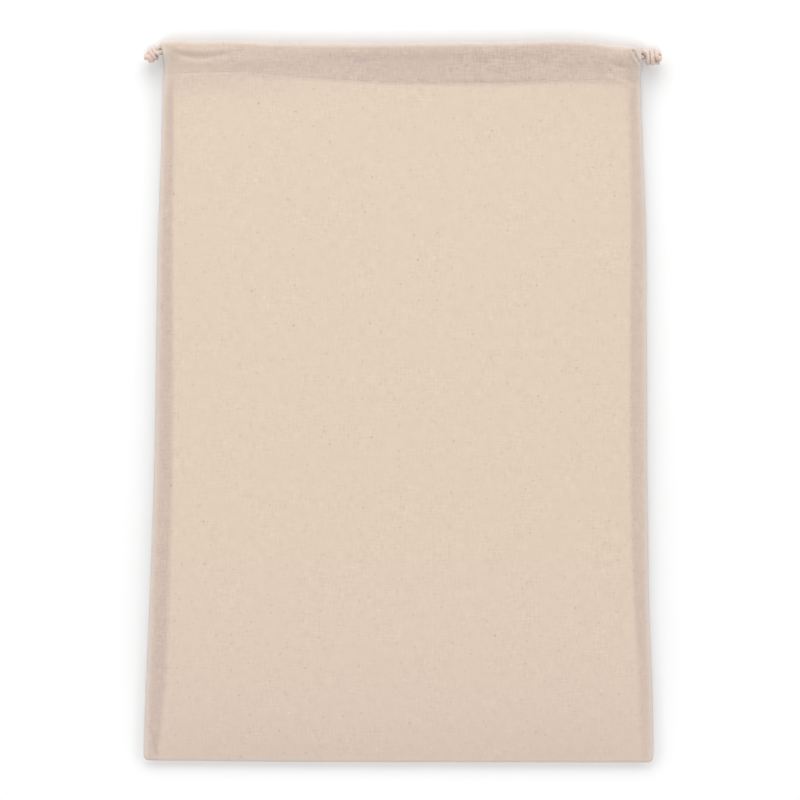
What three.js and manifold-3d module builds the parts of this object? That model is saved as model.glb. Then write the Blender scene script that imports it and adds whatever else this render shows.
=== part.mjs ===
// A drawstring gift bag of unbleached cotton, empty and lying flat on its back.
// Millimetres, +Z up. X runs across the bag and Y from the bottom fold up to the mouth.
// The origin is on the floor, under the middle of the bag's box.
import * as THREE from "three";
import Module from "manifold-3d";

const wasm = await Module();
wasm.setup();
const { clamp, degToRad, lerp, smoothstep } = THREE.MathUtils;

// Driving dimensions
const CLOTH = 1; // one layer of cloth
const CORD = 2.5; // diameter of the drawstrings
const CLEARANCE = 0.5; // between a cord and whatever is next to it
const ALLOWANCE = 9.5; // seam allowance turned in along each side
const BODY_HEIGHT = 13.4; // front face above the floor in the middle of the bag
const EDGE_HEIGHT = 3.4; // front face above the floor at the side seams and the bottom fold
const STRIP_RISE = 0.58; // share of the climb between the two that is over the seam allowance
const SIDE_EASE = 16; // how far in from a side the front face levels out
const FOLD_EASE = 30; // how far up from the bottom fold it levels out
const SHOULDER = 42; // length over which the front face climbs to the casing
const MOUTH_GAP_MIDDLE = 4.4; // between the two casings, half way across
const MOUTH_GAP_ENDS = 0.8; // and at the sides
const SEAM_GROOVE = 0.35; // how far the casing's stitching pulls the cloth in

// The casing is the hem that is turned in at the mouth: a roll around two cords, then two flat layers
const ROLL = CLOTH + CLEARANCE + CORD / 2; // outer radius of its top fold
const UPPER_LANE = ROLL; // depth of the two cords below the mouth edge
const LANE_GAP = 0.6;
const LOWER_LANE = ROLL + CORD + LANE_GAP;
const ROLL_END = LOWER_LANE + CORD / 2 + CLEARANCE;

// Side edges, seen from above
const SIDES = [
  { y: -224, left: -158.8, right: 153.4 },
  { y: -219, left: -160.4, right: 155.0 },
  { y: -184, left: -159.3, right: 154.4 },
  { y: -122, left: -156.6, right: 152.1 },
  { y: -29, left: -153.6, right: 151.0 },
  { y: 95, left: -151.6, right: 150.4 },
  { y: 157, left: -149.5, right: 148.4 },
  { y: 194, left: -148.2, right: 146.8 },
  { y: 209, left: -147.2, right: 146.9 },
  { y: 224, left: -150.0, right: 147.6 },
];
// The mouth's edge, the casing's stitched lower edge and the bottom fold, seen from above
const MOUTH_EDGE = [
  { x: -151, y: 222.5 },
  { x: -139, y: 223.5 },
  { x: -126, y: 222.7 },
  { x: -108, y: 223.2 },
  { x: -84, y: 222.2 },
  { x: -36, y: 221.6 },
  { x: 62, y: 222.2 },
  { x: 97, y: 223.2 },
  { x: 116, y: 222.2 },
  { x: 133, y: 219.9 },
  { x: 148, y: 219.5 },
];
const CASING_SEAM = [
  { x: -151, y: 203.2 },
  { x: -104, y: 204.3 },
  { x: -65, y: 201.4 },
  { x: 0, y: 197.9 },
  { x: 58, y: 197.0 },
  { x: 97, y: 198.9 },
  { x: 148, y: 199.9 },
];
const BOTTOM_FOLD = [
  { x: -161, y: -222.2 },
  { x: -60, y: -223.1 },
  { x: 156, y: -223.5 },
];

// Across the casing: depth below the mouth edge, thickness, how far the front casing's face towards
// the mouth lies above the lowest part of it half way across the bag, and how deep a crease goes
const CASING_ROLL = [
  { depth: ROLL, thick: 2 * ROLL, lift: 0, crease: 0 },
  { depth: (ROLL + ROLL_END) / 2, thick: 2 * ROLL, lift: 0, crease: 0 },
  { depth: ROLL_END, thick: 2 * ROLL, lift: 0, crease: 0 },
  { depth: ROLL_END + 1.8, thick: 4.3, lift: 0.6, crease: 0.9 },
  { depth: ROLL_END + 3.8, thick: 3.1, lift: 1.1, crease: 0.5 },
];
const CASING_FLAT = { thick: 2.3, lift: 1.6, crease: 0 }; // half way from the roll to the stitching
const CASING_SEWN = { thick: 2 * CLOTH, lift: 1.9, crease: 0 };
const TUNNEL_TOE = 1.5; // length in which the tunnel closes below the roll
const TUNNEL_END = 1.03; // u of the tunnel cutters' ends, outside the cloth
// Degrees of the points on a quarter of the roll, and on the bottom fold from the front to the back
const ROLL_ANGLES = [30, 60];
const FOLD_ANGLES = [90, 135, 180, 225, 270];
// Creases under the front casing's roll, where the cords pull it in
const CREASES = [
  { x: -127, reach: 16 },
  { x: 133, reach: 10 },
];

// Slow waves of the front face: their height, how far it is across and up the bag for one radian of
// them, and where they start
const RIPPLES = [
  { height: 0.2, aside: 41, up: 90, start: 0.6 },
  { height: 0.2, aside: -120, up: 52, start: 2.1 },
];

// Rows of the body: distances up from the bottom fold, then down from the casing's stitching
const ROWS_FROM_FOLD = [5, 12, 25, 48, 85, 135, 195, 255, 310, 350];
const ROWS_BELOW_SEAM = [30, 19, 10, 4, 1.2];
// Columns: distances in from a side edge, as shares of the half width
const COLUMNS = [0, 0.017, 0.034, 0.05, 0.064, 0.085, 0.125, 0.18, 0.27, 0.4, 0.57, 0.78];
const ALLOWANCE_COLUMNS = [0.004, 0.017, 0.034, 0.05, 0.064];
const LEFT_HALF = COLUMNS.map((share) => share - 1);
const ALL_COLUMNS = [...LEFT_HALF, 0, ...LEFT_HALF.toReversed().map((u) => -u)];

// The cords
const CORD_SIDES = 10;
const BRIDGE_REACH = 1.9; // how far a cord swings out round the far side of the bag
const BRIDGE_BEND = 1.2; // depth of that bend
const BRIDGE_ANGLES = [60, 30, 0, -30, -60];
const LEAD_PULL = 1.8; // how gently a cord bends from the casing into its knot
const LEAD_STEPS = 7;
// A knot is one end of the cord that is wound back round the other. It has its centre, how far its
// axis is swung down from straight out of the bag, the radius and the half length of its winding, its
// turns and their way round, how far the wound end runs straight out of the front casing, and how far
// along, out of and round the axis the other end enters it and the two cut ends leave it.
const LEFT = {
  side: -1,
  lane: LOWER_LANE,
  knot: {
    centre: new THREE.Vector3(-155.0, 215.2, 5.2),
    swing: 30,
    radius: 2.75,
    half: 2.6,
    turns: 2,
    way: -1,
    straight: 1.8,
    entry: { along: -3.4, out: 0.4, round: 0 },
    ends: [
      { along: 4.3, out: 1.6, round: 200 },
      { along: 4.0, out: 2.4, round: 330 },
    ],
  },
};
const RIGHT = {
  side: 1,
  lane: UPPER_LANE,
  knot: {
    centre: new THREE.Vector3(154.2, 213.6, 5.4),
    swing: 4,
    radius: 3.6,
    half: 2.9,
    turns: 2,
    way: 1,
    straight: 4,
    entry: { along: -3.6, out: 2.5, round: 180 },
    ends: [
      { along: 5.3, out: 2.6, round: 200 },
      { along: 4.7, out: 3.0, round: 335 },
    ],
  },
};
const KNOT_STEP = 45; // degrees between the points of a winding, which begins and ends on top
const KNOT_TOP = 90;
const KNOT_SMOOTH = 4; // steps from one such point to the next
const KNOT_LOOP = 2.2; // how far the cord swings out where it turns back

// A smooth curve through a table's rows, which doesn't overshoot them
function curveThrough(rows, key, column) {
  const slopes = rows.slice(1).map((row, i) => (row[column] - rows[i][column]) / (row[key] - rows[i][key]));
  const tangents = rows.map((_, i) => {
    const before = slopes[Math.max(i - 1, 0)];
    const after = slopes[Math.min(i, slopes.length - 1)];
    return before * after <= 0 ? 0 : (2 * before * after) / (before + after);
  });
  return (place) => {
    const p = clamp(place, rows[0][key], rows.at(-1)[key]);
    const i = Math.min(rows.findLastIndex((row) => row[key] <= p), slopes.length - 1);
    const span = rows[i + 1][key] - rows[i][key];
    const q = (p - rows[i][key]) / span;
    const from = (1 - q) * (tangents[i] - slopes[i]);
    const to = q * (tangents[i + 1] - slopes[i]);
    return lerp(rows[i][column], rows[i + 1][column], q) + q * (1 - q) * span * (from - to);
  };
}

const leftEdge = curveThrough(SIDES, "y", "left");
const rightEdge = curveThrough(SIDES, "y", "right");
const mouthEdge = curveThrough(MOUTH_EDGE, "x", "y");
const casingSeam = curveThrough(CASING_SEAM, "x", "y");
const bottomFold = curveThrough(BOTTOM_FOLD, "x", "y");

// u runs from -1 on the left edge to 1 on the right edge
const across = (u, y) => lerp(leftEdge(y), rightEdge(y), (u + 1) / 2);
const halfWidth = (y) => (rightEdge(y) - leftEdge(y)) / 2;
const mouthAt = (u) => mouthEdge(across(u, MOUTH_EDGE[0].y));
const seamAt = (u) => casingSeam(across(u, CASING_SEAM[0].y));
const foldAt = (u) => bottomFold(across(u, BOTTOM_FOLD[0].y));

// How far the front has risen at u, from 0 at a side edge to 1 half way across
function overSide(u, y) {
  const fromSide = Math.max(1 - Math.abs(u), 0) * halfWidth(y);
  const overStrip = Math.min(fromSide / ALLOWANCE, 1);
  return lerp(1 - Math.exp(-fromSide / SIDE_EASE), overStrip, STRIP_RISE);
}

// Height of the front casing's face towards the mouth, at a row of the casing
function mouthFace(u, { thick, lift }) {
  const rise = overSide(u, MOUTH_EDGE[0].y);
  return lerp(thick + MOUTH_GAP_ENDS, 2 * ROLL + MOUTH_GAP_MIDDLE + lift, rise);
}

// Thickness of the front casing at a row, less what its creases take
function frontThick(u, { thick, crease }) {
  const x = across(u, MOUTH_EDGE[0].y);
  return CREASES.reduce((left, at) => left - crease * Math.exp(-(((x - at.x) / at.reach) ** 2)), thick);
}

// Slow unevenness of the front face
function ripple(x, y) {
  const wave = ({ height, aside, up, start }) => height * Math.sin(x / aside + y / up + start);
  return RIPPLES.reduce((sum, row) => sum + wave(row), 0);
}

// Height of the front face above the floor
function frontHeight(u, y) {
  const overFold = 1 - Math.exp(-Math.max(y - foldAt(u), 0) / FOLD_EASE);
  const rise = BODY_HEIGHT - EDGE_HEIGHT + ripple(across(u, y), y);
  const body = EDGE_HEIGHT + rise * overSide(u, y) * overFold;
  const sewn = mouthFace(u, CASING_SEWN) + CASING_SEWN.thick;
  return lerp(body, sewn, smoothstep(y, seamAt(u) - SHOULDER, seamAt(u)));
}

// A closed solid through sections with the same points. Each section runs along its outer face
// from tip to tip, and its inner face has the points between the tips.
function loft(sections) {
  const rings = sections.map(({ outer, inner }) => [...outer, ...inner.toReversed()]);
  const size = rings[0].length;
  const faces = [];
  for (let i = 0; i + 1 < rings.length; i++) {
    for (let j = 0; j < size; j++) {
      const [a, b] = [i * size + j, i * size + ((j + 1) % size)];
      faces.push(a, b, b + size, a, b + size, a + size);
    }
  }
  const last = (rings.length - 1) * size;
  for (let k = 0; k + 1 < sections[0].outer.length; k++) {
    const [a, b, c, d] = [k, k + 1, (size - k - 1) % size, (size - k) % size];
    if (b !== c) faces.push(a, c, b, last + a, last + b, last + c);
    if (a !== d) faces.push(a, d, c, last + a, last + c, last + d);
  }
  return solidOf(new THREE.BufferGeometry().setFromPoints(rings.flat()).setIndex(faces));
}

function solidOf(geometry) {
  const vertProperties = new Float32Array(geometry.attributes.position.array);
  const triVerts = new Uint32Array(geometry.index.array);
  return new wasm.Manifold(new wasm.Mesh({ numProp: 3, vertProperties, triVerts }));
}

function geometryOf(solid) {
  const mesh = solid.getMesh();
  return new THREE.BufferGeometry()
    .setAttribute("position", new THREE.BufferAttribute(mesh.vertProperties, 3))
    .setIndex(new THREE.BufferAttribute(mesh.triVerts, 1));
}

// The cloth at u, from the tip of the front casing down the front, round the fold and up the back
function clothSection(u) {
  const place = (y, z) => new THREE.Vector3(across(u, y), y, z);
  const turn = (y, z, radius, degrees) =>
    place(y + radius * Math.cos(degToRad(degrees)), z + radius * Math.sin(degToRad(degrees)));
  const [edge, seam, fold] = [mouthAt(u), seamAt(u), foldAt(u)];
  const flatDepth = (CASING_ROLL.at(-1).depth + edge - seam) / 2;
  const casing = [...CASING_ROLL, { ...CASING_FLAT, depth: flatDepth }];
  const rows = [...ROWS_FROM_FOLD.map((d) => fold + d), ...ROWS_BELOW_SEAM.map((d) => seam - d)];
  const face = (row) => mouthFace(u, row);
  const front = face(CASING_ROLL[0]);
  const roll = edge - ROLL;
  const bend = EDGE_HEIGHT / 2;
  return {
    outer: [
      place(edge, front + ROLL),
      ...ROLL_ANGLES.map((angle) => turn(roll, front + ROLL, ROLL, angle)),
      ...casing.map((row) => place(edge - row.depth, face(row) + frontThick(u, row))),
      place(seam, face(CASING_SEWN) + CASING_SEWN.thick - SEAM_GROOVE),
      ...rows.toReversed().map((y) => place(y, frontHeight(u, y))),
      ...FOLD_ANGLES.map((angle) => turn(fold + bend, bend, bend, angle)),
      ...rows.map((y) => place(y, 0)),
      place(seam, 0),
      ...casing.toReversed().map(({ depth }) => place(edge - depth, 0)),
      ...ROLL_ANGLES.toReversed().map((angle) => turn(roll, ROLL, ROLL, -angle)),
      place(edge, ROLL),
    ],
    inner: [
      ...ROLL_ANGLES.map((angle) => turn(roll, front + ROLL, ROLL, -angle)),
      ...casing.map((row) => place(edge - row.depth, face(row))),
      place(seam, face(CASING_SEWN)),
      ...rows.toReversed().map((y) => place(y, frontHeight(u, y) - CLOTH)),
      ...FOLD_ANGLES.map((angle) => turn(fold + bend, bend, bend - CLOTH, angle)),
      ...rows.map((y) => place(y, CLOTH)),
      place(seam, CASING_SEWN.thick),
      ...casing.toReversed().map(({ depth, thick }) => place(edge - depth, thick)),
      ...ROLL_ANGLES.toReversed().map((angle) => turn(roll, ROLL, ROLL, angle)),
    ],
  };
}

// The tunnel for the cords at u, in a casing with its lower face at base(row) and this thickness
function tunnelSection(u, base, thickness) {
  const edge = mouthAt(u);
  const place = (y, z) => new THREE.Vector3(across(u, y), y, z);
  const bore = ROLL - CLOTH;
  const middle = base(CASING_ROLL[0]) + ROLL;
  const turn = (degrees) =>
    place(edge - ROLL + bore * Math.cos(degToRad(degrees)), middle + bore * Math.sin(degToRad(degrees)));
  const end = CASING_ROLL.at(-1);
  return {
    outer: [
      place(edge - CLOTH, middle),
      ...ROLL_ANGLES.map(turn),
      ...CASING_ROLL.map((row) => place(edge - row.depth, base(row) + thickness(row) - CLOTH)),
      place(edge - end.depth - TUNNEL_TOE, base(end) + thickness(end) / 2),
    ],
    inner: [
      ...ROLL_ANGLES.map((degrees) => turn(-degrees)),
      ...CASING_ROLL.map((row) => place(edge - row.depth, base(row) + CLOTH)),
    ],
  };
}

// The turned-in allowances between the two panels at u, from the casing down to the fold
function allowanceSection(u) {
  const [top, fold] = [seamAt(u), foldAt(u)];
  const place = (y, z) => new THREE.Vector3(across(u, y), y, z);
  const low = fold + EDGE_HEIGHT / 3;
  const rising = [low, ...ROWS_FROM_FOLD.map((d) => fold + d), ...ROWS_BELOW_SEAM.map((d) => top - d)];
  const rows = rising.toReversed();
  return {
    outer: [
      place(top, frontHeight(u, top) / 2),
      ...rows.map((y) => place(y, frontHeight(u, y) - CLOTH / 2)),
      place(fold + CLOTH / 2, EDGE_HEIGHT / 2),
    ],
    inner: rows.map((y) => place(y, CLOTH / 2)),
  };
}

// One piece of cloth, folded at the bottom, sewn up both sides and hemmed at the mouth
function bagCloth() {
  const through = [-TUNNEL_END, ...ALL_COLUMNS, TUNNEL_END];
  let cloth = loft(ALL_COLUMNS.map(clothSection));
  for (const side of [-1, 1]) {
    const seam = ALLOWANCE_COLUMNS.map((share) => side * (1 - share)).sort((a, b) => a - b);
    cloth = cloth.add(loft(seam.map(allowanceSection)));
  }
  const backTunnel = (u) => tunnelSection(u, () => 0, (row) => row.thick);
  const frontTunnel = (u) => tunnelSection(u, (row) => mouthFace(u, row), (row) => frontThick(u, row));
  for (const tunnel of [backTunnel, frontTunnel]) cloth = cloth.subtract(loft(through.map(tunnel)));
  return geometryOf(cloth);
}

// A round cord along points, either closed into a ring or with two cut ends
function cordAlong(points, closed) {
  const count = points.length;
  const near = (i) => points[closed ? (i + count) % count : clamp(i, 0, count - 1)];
  const tangents = points.map((_, i) => near(i + 1).clone().sub(near(i - 1)).normalize());
  const normals = [new THREE.Vector3(0, 1, 0).cross(tangents[0]).normalize()];
  const turn = new THREE.Quaternion();
  for (let i = 1; i < count + closed; i++) {
    turn.setFromUnitVectors(tangents[i - 1], tangents[i % count]);
    normals.push(normals[i - 1].clone().applyQuaternion(turn));
  }
  // What the ring lacks to meet itself again is shared out over its whole length
  const start = normals[0];
  const end = closed ? normals.pop() : start;
  const lack = Math.atan2(start.clone().cross(end).dot(tangents[0]), start.dot(end));
  const rings = points.map((point, i) =>
    Array.from({ length: CORD_SIDES }, (_, k) => {
      const angle = (2 * Math.PI * k) / CORD_SIDES - (lack * i) / count;
      return normals[i].clone().applyAxisAngle(tangents[i], angle).multiplyScalar(CORD / 2).add(point);
    }),
  );
  const faces = [];
  for (let i = 0; i < count - !closed; i++) {
    for (let k = 0; k < CORD_SIDES; k++) {
      const [here, next] = [i * CORD_SIDES, ((i + 1) % count) * CORD_SIDES];
      const l = (k + 1) % CORD_SIDES;
      faces.push(here + k, here + l, next + l, here + k, next + l, next + k);
    }
  }
  const last = (count - 1) * CORD_SIDES;
  for (let k = 1; !closed && k + 1 < CORD_SIDES; k++) {
    faces.push(0, k + 1, k, last, last + k, last + k + 1);
  }
  return solidOf(new THREE.BufferGeometry().setFromPoints(rings.flat()).setIndex(faces));
}

// A cord through both casings. It runs round the far side of the bag from the front casing to the
// back one, and its ends are wound into a knot beside the near side.
function drawstring({ side, lane, knot }) {
  const run = ALL_COLUMNS.map((u) => -side * u);
  const inTunnel = (u, z) => {
    const y = mouthAt(u) - lane;
    return new THREE.Vector3(across(u, y), y, z);
  };
  const front = run.map((u) => inTunnel(u, mouthFace(u, CASING_ROLL[0]) + ROLL));
  const back = run.toReversed().map((u) => inTunnel(u, ROLL));
  const [leaving, entering] = [front.at(-1), back[0]];
  const bridge = BRIDGE_ANGLES.map((degrees) => {
    const out = -side * (BRIDGE_REACH - BRIDGE_BEND * (1 - Math.cos(degToRad(degrees))));
    const share = (1 - Math.sin(degToRad(degrees))) / 2;
    return leaving.clone().setX(entering.x + out).lerp(entering.clone().setX(entering.x + out), share);
  });

  const { centre, half, radius } = knot;
  const swing = degToRad(knot.swing);
  const axis = new THREE.Vector3(side * Math.cos(swing), -Math.sin(swing), 0);
  const up = new THREE.Vector3(0, 0, 1);
  const level = axis.clone().cross(up).multiplyScalar(side);
  const inKnot = (along, out, degrees) =>
    centre
      .clone()
      .addScaledVector(axis, along)
      .addScaledVector(level, out * Math.cos(degToRad(degrees)))
      .addScaledVector(up, out * Math.sin(degToRad(degrees)));
  const windings = Math.round((knot.turns * 360) / KNOT_STEP);
  const wound = Array.from({ length: windings + 1 }, (_, i) =>
    inKnot(lerp(half, -half, i / windings), radius, KNOT_TOP + knot.way * i * KNOT_STEP),
  );
  const enters = inKnot(knot.entry.along, knot.entry.out, knot.entry.round);
  const core = [enters, inKnot(0, 0, 0), inKnot(half, 0, 0)];
  const loop = inKnot(half + KNOT_LOOP, radius / 2, KNOT_TOP - (knot.way * KNOT_STEP) / 2);
  const places = [...core, loop, ...wound];
  const curve = new THREE.CatmullRomCurve3(places, false, "catmullrom");
  const tied = curve.getPoints(KNOT_SMOOTH * (places.length - 1));
  const lead = (tunnel, straight, first, second) => {
    const leaving = tunnel.clone().setX(tunnel.x + side * straight);
    const arriving = first.clone().sub(second).setLength(LEAD_PULL).add(first);
    return new THREE.CubicBezierCurve3(tunnel, leaving, arriving, first).getPoints(LEAD_STEPS).slice(1, -1);
  };
  const toKnot = lead(back.at(-1), LEAD_PULL, tied[0], tied[1]);
  const fromKnot = lead(front[0], knot.straight, tied.at(-1), tied.at(-2)).toReversed();
  let cord = cordAlong([...front, ...bridge, ...back, ...toKnot, ...tied, ...fromKnot], true);
  for (const { along, out, round } of knot.ends) {
    const tip = inKnot(along, out, round);
    const start = inKnot(0, out, round);
    cord = cord.add(cordAlong([start, start.clone().lerp(tip, 0.5), tip], false));
  }
  return geometryOf(cord);
}

const COTTON = new THREE.MeshStandardMaterial({ color: "#e0cdb8", roughness: 0.95, metalness: 0 });
const CORD_COTTON = new THREE.MeshStandardMaterial({ color: "#dccab5", roughness: 0.95, metalness: 0 });

const bag = new THREE.Group();
function addNode(name, geometry, material) {
  const mesh = new THREE.Mesh(geometry, material);
  mesh.name = name;
  bag.add(mesh);
}
addNode("bag_cloth", bagCloth(), COTTON);
addNode("drawstring_left", drawstring(LEFT), CORD_COTTON);
addNode("drawstring_right", drawstring(RIGHT), CORD_COTTON);

export default bag;
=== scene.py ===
# A drawstring gift bag of unbleached cotton, empty and lying flat on its back.
# Sizes are in millimetres until a mesh is made. X runs across the bag, Y from the bottom fold up to
# the mouth, and +Z is up.
import math
from functools import lru_cache

import bmesh
import bpy
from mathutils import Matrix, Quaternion, Vector, noise


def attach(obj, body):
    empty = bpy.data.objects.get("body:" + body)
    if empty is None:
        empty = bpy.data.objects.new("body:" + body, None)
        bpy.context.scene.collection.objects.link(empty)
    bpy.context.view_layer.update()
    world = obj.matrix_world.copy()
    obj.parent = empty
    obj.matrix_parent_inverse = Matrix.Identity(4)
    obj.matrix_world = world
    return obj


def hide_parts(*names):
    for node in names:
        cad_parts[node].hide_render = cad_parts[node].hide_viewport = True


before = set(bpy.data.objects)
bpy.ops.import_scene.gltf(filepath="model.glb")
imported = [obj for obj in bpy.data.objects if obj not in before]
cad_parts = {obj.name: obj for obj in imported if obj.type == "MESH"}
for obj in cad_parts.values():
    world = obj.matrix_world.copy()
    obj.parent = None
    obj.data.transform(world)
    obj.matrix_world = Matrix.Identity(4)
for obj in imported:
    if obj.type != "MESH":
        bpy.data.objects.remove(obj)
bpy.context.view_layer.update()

MM = 0.001
METRE = 1000

# The bag, in the solids' sizes apart from the three that are marked
CORD = 2.5  # diameter of the drawstrings
ALLOWANCE = 9.5  # turned in along each side
BODY_HEIGHT = 13.4  # the front above the floor, in the middle of the bag
EDGE_HEIGHT = 4.0  # and at its sides and bottom fold, where the solids have 3.4
STRIP_RISE = 0.58  # share of the climb between the two that is over the allowance
SIDE_EASE = 16  # how far in from a side the front levels out
FOLD_EASE = 40  # and how far up from the bottom fold, where the solids have 30
SHOULDER = 42  # length over which the front climbs to the casing
MOUTH_GAP_MIDDLE = 4.4  # between the two casings, half way across
MOUTH_GAP_ENDS = 0.8  # and at the sides
SEAM_GROOVE = 0.1  # how far the casing's stitching pulls the cloth in, where the solids have 0.35
ROLL = 2.75  # outer radius of the casing's top fold
UPPER_LANE = ROLL  # depth of the two cords below the mouth's edge
LOWER_LANE = 5.85
# Where up the bag its sides are read for the mouth, the stitching and the bottom fold, and half of the
# width on which distances in from a side are measured
MOUTH_LEVEL = 222.5
SEAM_LEVEL = 203.2
FOLD_LEVEL = -222.2
HALF_WIDTH = 151

# The bag's sides, its mouth's edge, its casing's stitching and its bottom fold, seen from above
SIDES = [
    dict(y=-224, left=-158.8, right=153.4),
    dict(y=-219, left=-160.4, right=155.0),
    dict(y=-184, left=-159.3, right=154.4),
    dict(y=-122, left=-156.6, right=152.1),
    dict(y=-29, left=-153.6, right=151.0),
    dict(y=95, left=-151.6, right=150.4),
    dict(y=157, left=-149.5, right=148.4),
    dict(y=194, left=-148.2, right=146.8),
    dict(y=209, left=-147.2, right=146.9),
    dict(y=224, left=-150.0, right=147.6),
]
MOUTH_EDGE = [
    dict(x=-151, y=222.5),
    dict(x=-139, y=223.5),
    dict(x=-126, y=222.7),
    dict(x=-108, y=223.2),
    dict(x=-84, y=222.2),
    dict(x=-36, y=221.6),
    dict(x=62, y=222.2),
    dict(x=97, y=223.2),
    dict(x=116, y=222.2),
    dict(x=133, y=219.9),
    dict(x=148, y=219.5),
]
CASING_SEAM = [
    dict(x=-151, y=203.2),
    dict(x=-104, y=204.3),
    dict(x=-65, y=201.4),
    dict(x=0, y=197.9),
    dict(x=58, y=197.0),
    dict(x=97, y=198.9),
    dict(x=148, y=199.9),
]
BOTTOM_FOLD = [
    dict(x=-161, y=-222.2),
    dict(x=-60, y=-223.1),
    dict(x=156, y=-223.5),
]

# The cloth
SHEET = 0.6  # its thickness
TUCK = 0.68  # from the middle of the cloth to the middle of its turned-in allowance
TUCK_EASE = 0.27  # what the allowance lies deeper by below the casing
CASING_EASE = 20  # length below the casing over which that and BACK_TUCK set in
SIDE_LAYERS = 0.9  # what the allowances add to the sewn hem at the sides
HEM_PAST_SEAM = 1.5  # the hem's cut edge lies this far below the stitching
GROOVE_REACH = 0.9  # how far to each side of it the stitching pulls
GROOVE_DEEPER = dict(x=54, reach=26, by=0.4)  # where the stitching pulls more
BACK_TUCK = 2.2  # how far the back's sides lie in under the front's
BACK_TUCK_REACH = 14  # how far in from a side that reaches
# Degrees round the casing's top fold, from its lower side to its upper one, and round the bottom
# fold, from the front to the back
ROLL_TURN = (-90, 90)
BEND_TURN = (90, 270)

# Down the casing: the step is the depth below the mouth's edge as far as the roll's foot. From there
# the steps are stretched to reach the stitching. Thickness, how far the front casing's lower face
# lies above its lowest part, and how deep the two creases under the roll go.
ROLL_FOOT = 11.4
SEAM_STEP = 21.4
CASING = [
    dict(step=2.75, thick=5.5, lift=0.0, crease=0.0),
    dict(step=5.4, thick=5.25, lift=0.0, crease=0.1),
    dict(step=7.3, thick=4.85, lift=0.1, crease=0.3),
    dict(step=9.2, thick=4.1, lift=0.55, crease=0.4),
    dict(step=11.4, thick=3.3, lift=1.1, crease=0.2),
    dict(step=16.4, thick=2.5, lift=1.6, crease=0.0),
    dict(step=21.4, thick=2.0, lift=1.9, crease=0.0),
]
ROLL_CREASES = [
    dict(x=-127, reach=16),
    dict(x=133, reach=7),
]
# Soft troughs in the front, from one point to another and bowed sideways at the middle. A ridge has
# a depth below 0. They fade out towards both ends, as a sine with this power does.
FOLD_FADE = 0.8
FOLDS = [
    # The crease under the mouth's edge at the casing's left end, and the lip above it
    dict(x=-144.5, y=218.6, to_x=-106.0, to_y=216.8, bow=-5.8, reach=1.7, depth=0.62),
    dict(x=-148.5, y=221.0, to_x=-102.0, to_y=219.0, bow=-3.6, reach=1.9, depth=-0.55),
    # Broad ridges along the casing's two ends
    dict(x=-172.0, y=212.0, to_x=-42.0, to_y=210.0, bow=0.0, reach=4.2, depth=-0.75),
    dict(x=88.0, y=211.4, to_x=168.0, to_y=209.4, bow=0.0, reach=4.0, depth=-0.75),
    # The short crease in the bottom-left corner
    dict(x=-155.4, y=-204.0, to_x=-153.4, to_y=-223.0, bow=0.0, reach=1.6, depth=0.7),
    # Puckers at the right end of the stitching, and in the casing above it
    dict(x=138.0, y=198.6, to_x=149.0, to_y=196.2, bow=0.0, reach=1.2, depth=0.75),
    dict(x=126.0, y=201.0, to_x=142.0, to_y=194.6, bow=0.4, reach=1.4, depth=-0.5),
    dict(x=123.0, y=209.9, to_x=141.0, to_y=205.2, bow=0.3, reach=1.8, depth=0.6),
    # The lip beside the slanting crease at the casing's right end, and that crease
    dict(x=136.6, y=222.4, to_x=147.4, to_y=204.8, bow=0.0, reach=0.8, depth=-0.7),
    dict(x=138.2, y=222.8, to_x=148.0, to_y=206.6, bow=0.0, reach=0.7, depth=1.9),
]
# Slow waves of the front, as cloth that was folded and laid flat again has them: their height, how
# far it is across and up the bag for one radian of them, and where they start. The solids have them
# too. The rumples, which are noise of this size, are only here.
WAVES = [
    dict(height=0.2, aside=41, up=90, start=0.6),
    dict(height=0.2, aside=-120, up=52, start=2.1),
]
RUMPLES = dict(height=0.12, aside=26, up=34)

# How dark the cloth is painted: partly the layers inside, which let less light through, and partly
# painted shade, of the side strips and of the casing's roll. Over an allowance: in from the side's edge,
# where 1 is as wide as the allowance shows.
STRIP_SHOWS = [
    dict(inset=0.0, share=0.2),
    dict(inset=0.2, share=0.42),
    dict(inset=0.44, share=0.6),
    dict(inset=0.86, share=0.7),
    dict(inset=1.0, share=0.42),
    dict(inset=1.16, share=0.0),
]
# Up the sides: how wide the left and the right allowance show, and how much of the above they show
STRIPS = [
    dict(y=-224, left_wide=7.4, right_wide=6.4, left_share=0.85, right_share=0.5),
    dict(y=-206, left_wide=9.2, right_wide=7.1, left_share=0.85, right_share=0.52),
    dict(y=-190, left_wide=10.4, right_wide=7.3, left_share=0.9, right_share=0.58),
    dict(y=-154, left_wide=11.7, right_wide=7.7, left_share=1.0, right_share=0.7),
    dict(y=-95, left_wide=11.3, right_wide=9.6, left_share=1.0, right_share=0.76),
    dict(y=0, left_wide=10.6, right_wide=10.6, left_share=1.0, right_share=0.76),
    dict(y=130, left_wide=8.2, right_wide=8.2, left_share=1.0, right_share=0.76),
    dict(y=194, left_wide=6.6, right_wide=6.6, left_share=1.0, right_share=0.76),
]
# Over the hem, painted shade of the casing's roll included: down from the mouth's edge, and what share
# of that shows along it
HEM_SHOWS = [
    dict(depth=0.0, share=0.85),
    dict(depth=2.0, share=0.72),
    dict(depth=3.6, share=0.6),
    dict(depth=6.0, share=0.74),
    dict(depth=9.0, share=0.92),
    dict(depth=14.0, share=0.88),
    dict(depth=20.0, share=0.8),
]
HEM_ALONG = [
    dict(x=-150, share=0.42),
    dict(x=-100, share=0.66),
    dict(x=-58, share=0.78),
    dict(x=-10, share=1.0),
    dict(x=66, share=1.0),
    dict(x=100, share=0.93),
    dict(x=128, share=0.76),
    dict(x=148, share=0.62),
]
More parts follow.
